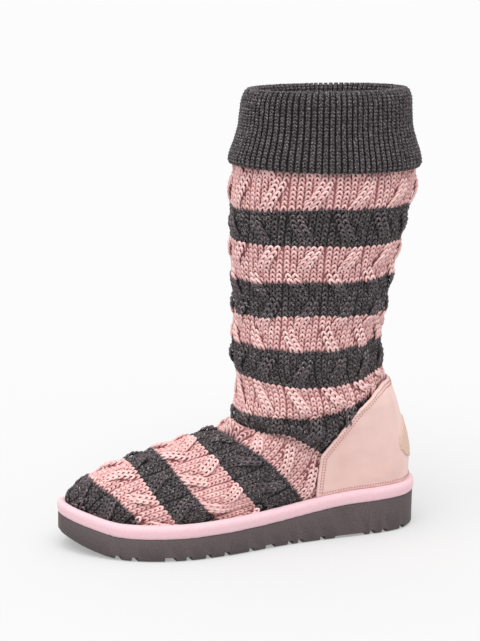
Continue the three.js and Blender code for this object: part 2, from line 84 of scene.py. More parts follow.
bpy.ops.mesh.primitive_plane_add(size=PAPER_WIDTH, location=(0, 0, -PAPER_DROP))
floor = bpy.context.object
floor.name = "studio_floor"
floor_paint, _, _, floor_shader = new_material("studio_paper", 0.9)
floor_shader.inputs["Base Color"].default_value = (0.38, 0.38, 0.38, 1)
floor_shader.inputs["Specular IOR Level"].default_value = 0.0
floor_shader.inputs["Emission Color"].default_value = (1, 1, 1, 1)
floor_shader.inputs["Emission Strength"].default_value = 0.33
floor.data.materials.append(floor_paint)

# Light: an even pale surround, as of white walls, and one broad soft source like a photographer's
# softbox, high on the toe's side of the camera.
bpy.context.scene.view_settings.view_transform = "Standard"
world = bpy.data.worlds.new("surround")
world.use_nodes = True
world.node_tree.nodes["Background"].inputs["Color"].default_value = (1, 1, 1, 1)
world.node_tree.nodes["Background"].inputs["Strength"].default_value = 0.95
bpy.context.scene.world = world
key_data = bpy.data.lights.new("soft_source", "SUN")
key_data.energy = 2.6
key_data.angle = math.radians(60)
key = bpy.data.objects.new("soft_source", key_data)
key.rotation_euler = Vector((-0.5, 0.36, -1.25)).to_track_quat("-Z", "Y").to_euler()
bpy.context.scene.collection.objects.link(key)

# Outsole: one moulded block of dark taupe foam rubber, matt, thicker under the heel and turned up
# at the toe. Grooves are cut across underneath, and it is cemented under the rand.
def smooth_copy(node, name, angle=40):
    # A piece of its own from a CAD node's mesh: its corners merged, its notes left behind, smooth shaded
    piece = nodes[node].copy()
    piece.data = nodes[node].data.copy()
    piece.name = name
    piece.parent = None
    for key in list(piece.keys()):
        del piece[key]
    bpy.context.scene.collection.objects.link(piece)
    bpy.ops.object.select_all(action="DESELECT")
    piece.select_set(True)
    bpy.context.view_layer.objects.active = piece
    bpy.ops.object.mode_set(mode="EDIT")
    bpy.ops.mesh.select_all(action="SELECT")
    bpy.ops.mesh.remove_doubles(threshold=0.00001)
    bpy.ops.object.mode_set(mode="OBJECT")
    bpy.ops.object.shade_smooth_by_angle(angle=math.radians(angle))
    return piece


def soften(piece, voxel, passes, swell=0.0):
    # Edges rounded as of suede or leather: swollen a little, meshed anew and relaxed
    bpy.ops.object.mode_set(mode="EDIT")
    bpy.ops.mesh.select_all(action="SELECT")
    bpy.ops.transform.shrink_fatten(value=swell)
    bpy.ops.object.mode_set(mode="OBJECT")
    remesh = piece.modifiers.new("remesh", "REMESH")
    remesh.mode = "VOXEL"
    remesh.voxel_size = voxel
    bpy.ops.object.modifier_apply(modifier=remesh.name)
    relax = piece.modifiers.new("relax", "SMOOTH")
    relax.factor = 0.5
    relax.iterations = passes
    bpy.ops.object.modifier_apply(modifier=relax.name)
    bpy.ops.object.shade_smooth()


def finish_piece(piece, material, slot_name, *replaced):
    piece.data.materials.clear()
    piece.data.materials.append(material)
    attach(piece, "root")
    if replaced:
        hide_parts(*replaced)


def effect(name, inputs, outputs):
    group = bpy.data.node_groups.new(name, "ShaderNodeTree")
    kinds = {"value": "NodeSocketFloat", "colour": "NodeSocketColor", "normal": "NodeSocketVector"}
    for label, kind in inputs:
        group.interface.new_socket(name=label, in_out="INPUT", socket_type=kinds[kind])
    for label, kind in outputs:
        group.interface.new_socket(name=label, in_out="OUTPUT", socket_type=kinds[kind])
    entry = group.nodes.new("NodeGroupInput")
    leave = group.nodes.new("NodeGroupOutput")
    return group, group.nodes, group.links, entry, leave


grain_effect, grain_nodes, grain_links, grain_in, grain_out = effect(
    "grain",
    [("Scale", "value"), ("Strength", "value"), ("Depth", "value")],
    [("Mask", "value"), ("Normal", "normal")],
)
grain_place = grain_nodes.new("ShaderNodeTexCoord")
grain_noise = grain_nodes.new("ShaderNodeTexNoise")
grain_noise.inputs["Detail"].default_value = 4.0
grain_bump = grain_nodes.new("ShaderNodeBump")
grain_links.new(grain_place.outputs["Object"], grain_noise.inputs["Vector"])
grain_links.new(grain_in.outputs["Scale"], grain_noise.inputs["Scale"])
grain_links.new(grain_in.outputs["Strength"], grain_bump.inputs["Strength"])
grain_links.new(grain_in.outputs["Depth"], grain_bump.inputs["Distance"])
grain_links.new(grain_noise.outputs["Fac"], grain_bump.inputs["Height"])
grain_links.new(grain_noise.outputs["Fac"], grain_out.inputs["Mask"])
grain_links.new(grain_bump.outputs["Normal"], grain_out.inputs["Normal"])


def add_grain(material_nodes, links, shader, scale, strength, depth):
    grain = material_nodes.new("ShaderNodeGroup")
    grain.node_tree = grain_effect
    grain.inputs["Scale"].default_value = scale
    grain.inputs["Strength"].default_value = strength
    grain.inputs["Depth"].default_value = depth
    links.new(grain.outputs["Normal"], shader.inputs["Normal"])
    return grain.outputs["Mask"]


def two_tone(material_nodes, links, factor, dark, light, low=0.35, high=0.65):
    ramp = material_nodes.new("ShaderNodeValToRGB")
    ramp.color_ramp.elements[0].position = low
    ramp.color_ramp.elements[0].color = dark
    ramp.color_ramp.elements[1].position = high
    ramp.color_ramp.elements[1].color = light
    links.new(factor, ramp.inputs["Fac"])
    return ramp


foam, foam_nodes, foam_links, foam_shader = new_material("foam_rubber", 0.62)
foam_mask = add_grain(foam_nodes, foam_links, foam_shader, 900.0, 0.25, 0.0003)
foam_tone = two_tone(foam_nodes, foam_links, foam_mask, srgb(66, 56, 57), srgb(80, 69, 69))
foam_links.new(foam_tone.outputs["Color"], foam_shader.inputs["Base Color"])
outsole = smooth_copy("outsole", "sole_block", 35)
finish_piece(outsole, foam, "sole_foam", "outsole")

# Rand: a strip of pale pink suede folded over a soft cord. It runs all round the upper edge of the
# sole, stitched to the upper's lower edge, and covers the join.
rand_suede, rand_nodes, rand_links, rand_shader = new_material("rand_suede", 0.85)
rand_shader.inputs["Sheen Weight"].default_value = 0.25
rand_mask = add_grain(rand_nodes, rand_links, rand_shader, 600.0, 0.15, 0.0002)
rand_tone = two_tone(rand_nodes, rand_links, rand_mask, srgb(215, 176, 184), srgb(220, 183, 190))
rand_links.new(rand_tone.outputs["Color"], rand_shader.inputs["Base Color"])
rand = smooth_copy("rand", "rand_strip")
soften(rand, 0.0009, 5, 0.0004)
finish_piece(rand, rand_suede, "rand_suede", "rand")

# Insole: a board with a cream pile, cut to the bottom of the last. It lies on the sole inside the
# upper, and is seen only from above, down the shaft.
pile, pile_nodes, pile_links, pile_shader = new_material("insole_pile", 0.95)
pile_mask = add_grain(pile_nodes, pile_links, pile_shader, 500.0, 0.8, 0.001)
pile_tone = two_tone(pile_nodes, pile_links, pile_mask, srgb(205, 195, 184), srgb(240, 233, 224))
pile_links.new(pile_tone.outputs["Color"], pile_shader.inputs["Base Color"])
insole = smooth_copy("insole", "insole_board")
finish_piece(insole, pile, "insole_felt", "insole")

# Heel counter: a panel of pale pink suede moulded round the heel, with an upright front edge and a
# top that rises to the back. It is laid over the knit, stitched down and tucked behind the rand.
counter_suede, counter_nodes, counter_links, counter_shader = new_material("counter_suede", 0.9)
counter_shader.inputs["Sheen Weight"].default_value = 0.3
add_grain(counter_nodes, counter_links, counter_shader, 520.0, 0.22, 0.0003)
counter_place = counter_nodes.new("ShaderNodeTexCoord")
counter_cloud = counter_nodes.new("ShaderNodeTexNoise")
counter_cloud.inputs["Scale"].default_value = 28.0
counter_cloud.inputs["Detail"].default_value = 5.0
counter_links.new(counter_place.outputs["Object"], counter_cloud.inputs["Vector"])
counter_tone = two_tone(
    counter_nodes, counter_links, counter_cloud.outputs["Fac"], srgb(214, 178, 171), srgb(222, 189, 182))
counter_links.new(counter_tone.outputs["Color"], counter_shader.inputs["Base Color"])
counter = smooth_copy("heel_counter", "counter_suede_panel")
soften(counter, 0.0008, 6, 0.0004)
finish_piece(counter, counter_suede, "counter_suede", "heel_counter")

# Heel patch: a plain wide label of smooth tan leather with rounded ends, cut flat, bent round the
# back of the heel and glued on the counter.
patch_leather, patch_nodes, patch_links, patch_shader = new_material("patch_leather", 0.55)
patch_mask = add_grain(patch_nodes, patch_links, patch_shader, 700.0, 0.2, 0.0002)
patch_tone = two_tone(patch_nodes, patch_links, patch_mask, srgb(202, 170, 152), srgb(208, 177, 159))
patch_links.new(patch_tone.outputs["Color"], patch_shader.inputs["Base Color"])
patch = smooth_copy("heel_patch", "heel_label")
soften(patch, 0.0004, 6)
finish_piece(patch, patch_leather, "patch_leather", "heel_patch")

# Knit of the leg and foot: one tube of heavy cable knit, worked down from the cuff to the toe in
# stripes. Twelve panels of six wales hold a plait each, with a narrow sunk wale between two panels,
# and the tube's lower edge is sewn in behind the rand.
SOLE_LENGTH = 272.0
stripe_lines = [
    # Where one stripe ends and the next begins, toe to cuff: front, two places between, rear.
    {"stripe": "charcoal toe", "courses": 7, "line": [(265, 41), (264, 36), (263, 31), (262, 24)]},
    {"stripe": "pink toe", "courses": 8, "line": [(254, 52), (242.5, 44.5), (234, 36), (227.4, 28.3)]},
    {"stripe": "charcoal forefoot", "courses": 7, "line": [(223, 61.4), (217, 47.8), (209.5, 36), (200.4, 23.6)]},
    {"stripe": "pink forefoot", "courses": 9, "line": [(202.8, 66.9), (192.8, 50.3), (182, 37), (169.8, 23.7)]},
    {"stripe": "charcoal instep", "courses": 8, "line": [(176, 76.9), (161.8, 57.8), (150, 42.5), (136.9, 27.2)]},
    {"stripe": "pink puff", "courses": 7, "line": [(154, 80.5), (132.5, 64), (115, 46.5), (100.5, 28.4)]},
    {"stripe": "charcoal roll", "courses": 3, "line": [(144.6, 85.6), (118, 81.5), (92, 66), (50, 30)]},
    {"stripe": "pink ankle", "courses": 7, "line": [(143.8, 93), (112, 90.5), (85, 94), (37.7, 113)]},
    {"stripe": "charcoal ankle", "courses": 8, "line": [(143.1, 120.1), (112, 115.4), (76, 115.5), (41.7, 120.3)]},
    {"stripe": "pink shin", "courses": 7, "line": [(143, 143.9), (112, 142.8), (76, 143), (42, 145.1)]},
    {"stripe": "charcoal shin", "courses": 7, "line": [(141.7, 164.1), (110, 168), (76, 166.5), (40, 165.2)]},
    {"stripe": "pink calf", "courses": 8, "line": [(143.9, 189.2), (110, 192.2), (76, 191), (38.5, 193.2)]},
    {"stripe": "charcoal calf", "courses": 7, "line": [(145.4, 217.1), (108, 217.9), (72, 216.5), (36.3, 217)]},
    {"stripe": "pink top", "courses": 9, "line": [(145.4, 239.7), (107.3, 243.6), (72, 243.2), (40.6, 243.5)]},
    {"stripe": "cuff", "courses": 0, "line": [(145, 273), (108, 273), (72, 273), (38, 273)]},
]
LAST = len(stripe_lines) - 1

# Rings to a stripe, steps of a ring from front to rear, and how far out in metres a ray starts.
RINGS = 8
ROUND = 100
FAR = 0.2


def tree_of(piece):
    corners = [vertex.co.copy() for vertex in piece.data.vertices]
    return BVHTree.FromPolygons(corners, [polygon.vertices[:] for polygon in piece.data.polygons])


upper_tree = tree_of(nodes["upper"])


def face_of(tree, along, up, side):
    # How far a piece reaches to the outer (1) or inner (-1) side at a point seen from the side, in mm
    start = Vector((side * FAR, (SOLE_LENGTH / 2 - along) / 1000, up / 1000))
    hit = tree.ray_cast(start, Vector((-side, 0, 0)))[0]
    return None if hit is None else hit.x * 1000


def even_lean(before, after):
    # The harmonic mean of two gaps, or none where they differ in sign, so that no two lines cross
    both = before + after
    return np.where(before * after > 0, 2 * before * after / np.where(both == 0, 1, both), 0)


def smooth_step(first, second, lean_first, lean_second, share):
    square, cube = share ** 2, share ** 3
    start = first * (2 * cube - 3 * square + 1) + lean_first * (cube - 2 * square + share)
    return start + second * (3 * square - 2 * cube) + lean_second * (cube - square)


def stripe_curve(place):
    # A stripe's edge, or a line between two edges, as a curve from the front (0) to the rear (1)
    low = min(int(place), LAST - 1)
    near = [min(max(i, 0), LAST) for i in (low - 1, low, low + 1, low + 2)]
    rows = [np.array(stripe_lines[i]["line"], float) for i in near]
    gaps = [rows[i + 1] - rows[i] for i in range(3)]
    lean = [even_lean(gaps[0], gaps[1]), even_lean(gaps[1], gaps[2])]
    line = smooth_step(rows[1], rows[2], lean[0], lean[1], place - low)

    def at(t):
        if t <= 0:
            return line[0] + (line[1] - line[0]) * 3 * t
        if t >= 1:
            return line[3] + (line[3] - line[2]) * 3 * (t - 1)
        i = min(int(t * 3), 2)
        before, first, second, after = line[max(i - 1, 0)], line[i], line[i + 1], line[min(i + 2, 3)]
        lean_first = (second - before) / 2 if i > 0 else second - first
        lean_second = (after - first) / 2 if i < 2 else second - first
        return smooth_step(first, second, lean_first, lean_second, t * 3 - i)

    return at


# How the end of a line is found, in shares of it, and where the two halves of a ring meet, in mm:
# at the back of the heel, or anywhere above the foot.
LINE_STEP = 0.02
LINE_LIMIT = 3
HALVINGS = 14
HEEL_BACK = 30.0
FOOT_TOP = 60.0
TURNED_IN = 20.0


def line_end(at, start, step):
    # The share of a line where it leaves the outer face, stepped over and then found by halving
    inside = start
    outside = start
    while face_of(upper_tree, *at(outside), 1) is not None and abs(outside) < LINE_LIMIT:
        inside = outside
        outside += step
    for _ in range(HALVINGS):
        middle = (inside + outside) / 2
        if face_of(upper_tree, *at(middle), 1) is None:
            outside = middle
        else:
            inside = middle
    return inside


def half_rings(place):
    # The outer and inner half of a ring from front to rear, and whether they meet at the back of the
    # heel or leg. Further forward they end at the sole, where the edge turned in gives no width.
    at = stripe_curve(place)
    start = next(t for t in np.arange(0.1, 1, 0.03) if face_of(upper_tree, *at(t), 1) is not None)
    front, rear = line_end(at, start, -LINE_STEP), line_end(at, start, LINE_STEP)
    halves = [[], []]
    for k in range(ROUND + 1):
        along, up = at(front + (rear - front) * (1 - math.cos(math.pi * k / ROUND)) / 2)
        for half, side in zip(halves, (1, -1)):
            x = face_of(upper_tree, along, up, side)
            half.append((np.nan if x is None else x, along, up))
    halves = np.array(halves)
    for half in halves:
        gone = np.isnan(half[:, 0])
        if gone.any():
            half[gone, 0] = np.interp(np.flatnonzero(gone), np.flatnonzero(~gone), half[~gone, 0])
    halves[:, 0, 0] = halves[:, 0, 0].mean()
    closed = halves[0, -1, 1] < HEEL_BACK or halves[0, -1, 2] > FOOT_TOP
    if closed:
        halves[:, -1, 0] = halves[:, -1, 0].mean()
        return halves, closed
    for k in (-3, -2, -1):
        if halves[0, k, 0] - halves[1, k, 0] < TURNED_IN:
            halves[:, k, 0] = halves[:, k - 1, 0]
    return halves, closed


places = np.linspace(0.0, LAST, LAST * RINGS + 1)
rings, closures = zip(*[half_rings(place) for place in places])
closures = np.array(closures)


def spaced(points):
    # A line's points at even steps, and its length in mm
    run = np.concatenate([[0], np.cumsum(np.linalg.norm(np.diff(points, axis=0), axis=1))])
    even = np.linspace(0, run[-1], ROUND + 1)
    return np.stack([np.interp(even, run, points[:, i]) for i in range(3)], 1), run[-1]


def toe_front(x, up):
    hit = upper_tree.ray_cast(Vector((x / 1000, -FAR, up / 1000)), Vector((0, 1, 0)))[0]
    return None if hit is None else SOLE_LENGTH / 2 - hit.y * 1000


face = np.array([[spaced(half)[0] for half in ring] for ring in rings])

# The first rings close over the front of the toe, from its middle line out to the first side ring.
FAN = 3
FAN_START = 0.06
FAN_DROP = 0.4
for ring in range(FAN):
    for side in (0, 1):
        for k in range(ROUND + 1):
            rim = face[FAN, side, k]
            middle = (face[FAN, 0, k] + face[FAN, 1, k]) / 2
            x = middle[0] + (rim[0] - middle[0]) * (FAN_START + (1 - FAN_START) * ring / FAN)
            front = toe_front(x, rim[2] - FAN_DROP)
            face[ring, side, k] = (x, front if front is not None and front > rim[1] else rim[1], rim[2])

# The face is smoothed round the boot. Rings whose ends meet are held after the first turns, and the
# lower ends of the others keep to a face that was smoothed only lightly.
SMOOTHINGS = 40
SMOOTHINGS_BEFORE_HOLD = 12
LIGHT_SMOOTHING = 4
LOWER_END = 30
LOWER_FADE = 16
ALONG_SMOOTHINGS = 3
meets = closures[:, None, None, None]
for turn in range(SMOOTHINGS):
    beyond = np.where(meets, face[:, ::-1, -2:-1], 2 * face[:, :, -1:] - face[:, :, -2:-1])
    ahead = np.concatenate([face[:, :, 1:], beyond], 2)
    behind = np.concatenate([face[:, ::-1, 1:2], face[:, :, :-1]], 2)
    even = (behind + 2 * face + ahead) / 4
    face = np.where(meets & (turn >= SMOOTHINGS_BEFORE_HOLD), face, even)
    if turn == LIGHT_SMOOTHING:
        light_face = face
low_end = np.clip((np.arange(ROUND + 1) - ROUND + LOWER_END) / LOWER_FADE, 0, 1)
low_end = low_end[None, None, :, None] * ~meets
face = face * (1 - low_end) + light_face * low_end
for turn in range(ALONG_SMOOTHINGS):
    face[1:-1] = (face[:-2] + 2 * face[1:-1] + face[2:]) / 4
face = np.array([[spaced(half)[0] for half in ring] for ring in face])
reach = np.array([[spaced(half)[1] for half in ring] for ring in face])


def blend_rings(place):
    spot = np.clip(place, 0, LAST) * RINGS
    low = np.minimum(spot.astype(int), LAST * RINGS - 1)
    share = spot - low
    return low, share


def on_face(place, arc):
    # A point of the smoothed face at a place along the stripes and an arc from the front, in mm, with
    # how far the arc runs past the end of its half. Where the halves meet, an arc runs on round.
    low, share = blend_rings(place)
    outer = reach[low, 0] * (1 - share) + reach[low + 1, 0] * share
    inner = reach[low, 1] * (1 - share) + reach[low + 1, 1] * share
    arc = np.where(arc > outer, np.where(closures[low + 1], arc - outer - inner, arc), arc)
    arc = np.where(-arc > inner, np.where(closures[low + 1], arc + outer + inner, arc), arc)
    side = (arc < 0).astype(int)
    part = np.clip(np.abs(arc) / np.where(side == 1, inner, outer), 0, 1) * ROUND
    step = np.minimum(part.astype(int), ROUND - 1)
    f = (part - step)[..., None]
    g = share[..., None]
    first = face[low, side, step] * (1 - f) + face[low, side, step + 1] * f
    second = face[low + 1, side, step] * (1 - f) + face[low + 1, side, step + 1] * f
    beyond = np.abs(arc) - np.where(side == 1, inner, outer)
    return first * (1 - g) + second * g, beyond


PLACE_STEP = 0.06
ARC_STEP = 0.8


def with_normals(place, arc):
    point, beyond = on_face(place, arc)
    up_by = on_face(place + PLACE_STEP, arc)[0] - on_face(place - PLACE_STEP, arc)[0]
    round_by = on_face(place, arc + ARC_STEP)[0] - on_face(place, arc - ARC_STEP)[0]
    normal = np.cross(up_by, round_by)
    normal /= np.maximum(np.linalg.norm(normal, axis=-1, keepdims=True), 1e-9)
    return point, normal, beyond


# Folds of the slack ankle: a height in mm for a place along the stripes and an arc from the front.
fold_rows = [
    {"place": 6.5, "half": 0.42, "arc": 62, "spread": 45, "height": 4.0},
    {"place": 6.5, "half": 0.6, "arc": 0, "spread": 28, "height": -2.4},
    {"place": 6.02, "half": 0.15, "arc": 45, "spread": 40, "height": -4.0},
    {"place": 7.06, "half": 0.12, "arc": 50, "spread": 70, "height": -2.6},
    {"place": 5.42, "half": 0.34, "arc": 13, "spread": 8.5, "height": 9.5},
    {"place": 5.6, "half": 0.3, "arc": 29, "spread": 7, "height": -4.8},
    {"place": 5.86, "half": 0.14, "arc": 52, "spread": 26, "height": -4.0},
    {"place": 4.97, "half": 0.12, "arc": 10, "spread": 20, "height": -2.6},
    {"place": 7.5, "half": 0.34, "arc": 50, "spread": 80, "height": 1.0},
]


def fold_height(place, arc):
    total = np.zeros_like(place)
    for row in fold_rows:
        along = (place - row["place"]) / row["half"]
        across = (arc - row["arc"]) / row["spread"]
        total += row["height"] * np.exp(-along ** 2 - across ** 2)
    return total


def to_metres(points):
    return np.stack([points[..., 0], SOLE_LENGTH / 2 - points[..., 1], points[..., 2]], -1) / 1000


def to_frame(ways):
    # Directions in the frame, where "along" runs against y
    return np.stack([ways[..., 0], -ways[..., 1], ways[..., 2]], -1)


# The panels: their number, lanes and width in wales, the groove between two of them, where the first
# begins, and how wide a wale is on the foot and how far the panels turn there, both in mm.
PANELS = 12
LANES = 6
PANEL = 7.0
GROOVE = 0.12
PANEL_START = 3.8
WALES_ROUND = PANELS * (LANES + 1)
FOOT_WALE = 3.75
LEG_FROM, LEG_OVER = 6.0, 1.2
TWIST = 9.5
TWIST_FROM, TWIST_OVER = 5.5, 3


def ease(x):
    x = np.clip(x, 0, 1)
    return x * x * (3 - 2 * x)


def wale_width(place):
    low, share = blend_rings(place)
    girth = (reach[low].sum(-1) * (1 - share) + reach[low + 1].sum(-1) * share) / WALES_ROUND
    leg = ease((place - LEG_FROM) / LEG_OVER)
    return FOOT_WALE * (1 - leg) + girth * leg, TWIST * (1 - ease((place - TWIST_FROM) / TWIST_OVER))


def arc_of(place, wale):
    width, turned = wale_width(place)
    return wale * width + turned


course_marks = np.concatenate([[0], np.cumsum([row["courses"] for row in stripe_lines[:-1]])])


# The plait: twice in twelve courses the middle strand of two wales crosses over the pair beside it.
# The crossed stitches vanish under the strand, and the ones beside it are drawn down. Places and
# widths are in courses and wales, while lifts, heights and the half thickness of yarn are in mm.
crossings = [
    {"begin": 3.0, "wales": -2},
    {"begin": 9.0, "wales": 2},
]
STRAND = (2, 3)
PATTERN = 12
CROSSING = 5.2
PLAIT_LIFT = 2.2
FILL_SHARE, FILL_HALF = 0.8, 1.15
COVERED_HALF = 0.7
BESIDE_HALF, BESIDE_DROP = 2.2, 0.8
STITCH_HEIGHT = 3.35
YARN = 0.88
BASE_HEIGHT = -1.9
SIDES = 5
arch = [
    # Half of a stitch from its foot to its head: across in wales, along in courses, height in mm
    {"across": -0.30, "along": -0.90, "height": -1.4, "thick": 0.4},
    {"across": -0.33, "along": -0.45, "height": -0.3, "thick": 0.95},
    {"across": -0.29, "along": 0.03, "height": 0.3, "thick": 1.05},
    {"across": -0.17, "along": 0.40, "height": 0.45, "thick": 1.05},
    {"across": 0.0, "along": 0.60, "height": 0.15, "thick": 1.0},
]
arch_path = arch + [dict(row, across=-row["across"]) for row in reversed(arch[:-1])]


def course_of(place):
    return np.interp(place, np.arange(LAST + 1), course_marks)


def plait_height(place, arc):
    # How far a raised strand stands over the face, for the ground that fills it from behind
    width, turned = wale_width(place)
    wale = (arc - turned) / width
    inside = ((wale - PANEL_START) % PANEL - PANEL / 2) * LANES / PANEL
    course = course_of(place)
    total = np.zeros_like(place)
    for crossing in crossings:
        t = (course - crossing["begin"]) % PATTERN / CROSSING
        away = np.abs(inside - crossing["wales"] * ease(t))
        rise = FILL_SHARE * PLAIT_LIFT * np.sin(math.pi * np.clip(t, 0, 1))
        total += rise * np.clip(1 - (away / FILL_HALF) ** 4, 0, 1)
    return total


def stitch_list():
    # One row a stitch: wale, place, height in places, stripe, lane, and for a crossing strand the
    # course where it begins, the wales it moves and its lift in mm
    spots = []
    fine = np.linspace(0, 1, 13)
    for number in range(WALES_ROUND):
        panel, lane = divmod(number, LANES + 1)
        if lane == LANES:
            continue
        start = (panel - PANELS // 2) * PANEL + PANEL_START - PANEL
        wale = start + GROOVE / 2 + (lane + 0.5) * (PANEL - GROOVE) / LANES
        for stripe in range(LAST):
            place = stripe + fine
            points = on_face(place, arc_of(place, np.full_like(place, wale)))[0]
            run = np.concatenate([[0], np.cumsum(np.linalg.norm(np.diff(points, axis=0), axis=1))])
            count = max(1, round(run[-1] / STITCH_HEIGHT))
            for k in range(count):
                parts = [(k + part) / count * run[-1] for part in (0, 0.5, 1)]
                low, middle, high = np.interp(parts, run, place)
                course = course_of(middle)
                lift, covered = 0.0, False
                for crossing in crossings:
                    begin = course - (course - crossing["begin"]) % PATTERN
                    t = (course - begin) / CROSSING
                    if t >= 1:
                        continue
                    if lane in STRAND:
                        rise = PLAIT_LIFT * math.sin(math.pi * t)
                        spots.append((wale, middle, high - low, stripe, lane, begin, crossing["wales"], rise))
                    away = abs(lane + 0.5 - LANES / 2 - crossing["wales"] * ease(t))
                    covered = covered or away < COVERED_HALF
                    lift = -BESIDE_DROP if away < BESIDE_HALF else 0.0
                if not covered:
                    spots.append((wale, middle, high - low, stripe, lane, 0, 0, lift))
    return np.array(spots)


spots = stitch_list()
counter_tree = tree_of(nodes["heel_counter"])
rand_tree = tree_of(nodes["rand"])
cuff_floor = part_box("cuff")[0].z * 1000

# Stitches that the counter, the rand or the cuff hide are left out, and those under the counter's
# edge lie lower. The reaches are in metres, the other sizes in mm.
END_CLEAR = 1.0
CUFF_LAP = 4
COUNTER_TOP_PLACE = 8.2
COUNTER_PROBES = ((0, 0), (0.003, 0), (-0.0045, 0), (0, 0.003), (0, -0.003))
COUNTER_REACH = 0.006
UNDER_EDGE_DROP = 0.3
RAND_PROBES = (-0.001, 0.0045)
RAND_REACH = 0.012
middle_arc = arc_of(spots[:, 1], spots[:, 0])
middle_point, middle_normal, beyond = with_normals(spots[:, 1], middle_arc)
shown = (beyond < -END_CLEAR) & (middle_point[:, 2] < cuff_floor + CUFF_LAP)
for i in np.flatnonzero(shown & (spots[:, 1] < COUNTER_TOP_PLACE)):
    origin = Vector(to_metres(middle_point[i]))
    out = Vector(to_frame(middle_normal[i]))
    starts = [origin + Vector((0, dy, dz)) - out * 0.001 for dy, dz in COUNTER_PROBES]
    covered = sum(counter_tree.ray_cast(start, out, COUNTER_REACH)[0] is not None for start in starts)
    if covered == len(COUNTER_PROBES):
        shown[i] = False
    elif covered > 0:
        spots[i, 7] -= UNDER_EDGE_DROP * covered + max(0.0, fold_height(spots[i, 1], middle_arc[i]))
    starts = [origin + Vector((0, 0, dz)) for dz in RAND_PROBES]
    if all(rand_tree.ray_cast(start, out, RAND_REACH)[0] is not None for start in starts):
        shown[i] = False
wales, centres, heights, stripes, lanes, begins, ways, lifts = spots[shown].T

# Unevenness of the hand: how far stitches differ in width and place, in wales, and in height, in mm.
# A panel is crowned, and a stitch of a crossing strand is pulled wider.
SLACK, WANDER, UNEVEN = 0.04, 0.02, 0.1
CROWN, CROWN_FALL = 0.7, 1.9
CROSSED_WIDER = 1.15


def stitch_paths(rng):
    # Centre line of each stitch, laid on the face: arrays of stitch, point, xyz, and their normals
    across = np.array([row["across"] for row in arch_path]) * (PANEL - GROOVE) / LANES
    along = np.array([row["along"] for row in arch_path])
    height = np.array([row["height"] for row in arch_path])
    count = len(centres)
    place = centres[:, None] + along[None] * heights[:, None]
    t = (course_of(place) - begins[:, None]) / CROSSING
    shift = ways[:, None] * ease(t)
    slack = rng.normal(0, SLACK, (count, 1))
    wider = np.where(ways[:, None] != 0, CROSSED_WIDER, 1.0)
    wale = wales[:, None] + across[None] * (wider + slack) + shift + rng.normal(0, WANDER, (count, 1))
    inside = np.clip((wale - wales[:, None] + lanes[:, None] + 0.5) / LANES, 0, 1)
    crown = 1.0 - CROWN_FALL * np.abs(2 * inside - 1) ** 3
    arc = arc_of(place, wale)
    point, normal, _ = with_normals(place, arc)
    tall = height[None] + lifts[:, None] + crown * CROWN + fold_height(place, arc)
    tall = tall + rng.normal(0, UNEVEN, (count, 1)) + BASE_HEIGHT
    return to_metres(point + normal * tall[..., None]), to_frame(normal)


def tubes(paths, normals, radii, sides):
    # A closed tube of yarn along each path, its two ends drawn to a point
    count, points, _ = paths.shape
    tangent = np.gradient(paths, axis=1)
    tangent /= np.maximum(np.linalg.norm(tangent, axis=-1, keepdims=True), 1e-12)
    across = np.cross(tangent, normals)
    across /= np.maximum(np.linalg.norm(across, axis=-1, keepdims=True), 1e-12)
    out = np.cross(across, tangent)
    angle = np.arange(sides) / sides * 2 * math.pi
    ring = np.cos(angle)[:, None] * out[:, 1:-1, None] + np.sin(angle)[:, None] * across[:, 1:-1, None]
    body = paths[:, 1:-1, None] + radii[None, 1:-1, None, None] * ring
    inner = points - 2
    vertices = np.concatenate([paths[:, :1], body.reshape(count, inner * sides, 3), paths[:, -1:]], 1)
    size = inner * sides + 2
    faces, corners = [], []
    for q in range(sides):
        r = (q + 1) % sides
        faces.append((0, 1 + r, 1 + q))
        corners.append(((0, q + 0.5), (1, q + 1), (1, q)))
    for p in range(inner - 1):
        for q in range(sides):
            r = (q + 1) % sides
            a = 1 + p * sides
            faces.append((a + q, a + r, a + sides + r, a + sides + q))
            corners.append(((p + 1, q), (p + 1, q + 1), (p + 2, q + 1), (p + 2, q)))
    last = 1 + (inner - 1) * sides
    for q in range(sides):
        r = (q + 1) % sides
        faces.append((last + q, last + r, size - 1))
        corners.append(((inner, q), (inner, q + 1), (inner + 1, q + 0.5)))
    return vertices, faces, corners, size


def yarn_object(name, paths, normals, radii, tints, sides=SIDES):
    # One mesh of many tubes, with its own way along and round the yarn and a tint for each tube
    vertices, faces, corners, size = tubes(paths, normals, radii, sides)
    count = len(paths)
    mesh = bpy.data.meshes.new(name)
    starts = (np.arange(count) * size)[:, None]
    mesh.vertices.add(count * size)
    mesh.vertices.foreach_set("co", vertices.reshape(-1).astype(np.float32))
    flat = np.array([corner for row in faces for corner in row])
    sizes = np.array([len(row) for row in faces])
    loops = (starts + flat[None]).reshape(-1)
    mesh.loops.add(len(loops))
    mesh.loops.foreach_set("vertex_index", loops.astype(np.int32))
    mesh.polygons.add(count * len(faces))
    begin = np.concatenate([[0], np.cumsum(sizes)[:-1]])
    begins = (np.arange(count)[:, None] * len(flat) + begin[None]).reshape(-1)
    mesh.polygons.foreach_set("loop_start", begins.astype(np.int32))
    mesh.polygons.foreach_set("use_smooth", np.ones(count * len(faces), bool))
    spread = mesh.uv_layers.new(name="yarn")
    pairs = np.array([pair for row in corners for pair in row], float)
    pairs[:, 0] /= paths.shape[1] - 1
    pairs[:, 1] /= sides
    spread.data.foreach_set("uv", np.tile(pairs, (count, 1)).reshape(-1).astype(np.float32))
    tint = mesh.attributes.new("tint", "FLOAT", "POINT")
    tint.data.foreach_set("value", np.repeat(tints, size).astype(np.float32))
    mesh.update(calc_edges=True)
    mesh.validate()
    piece = bpy.data.objects.new(name, mesh)
    bpy.context.scene.collection.objects.link(piece)
    return piece


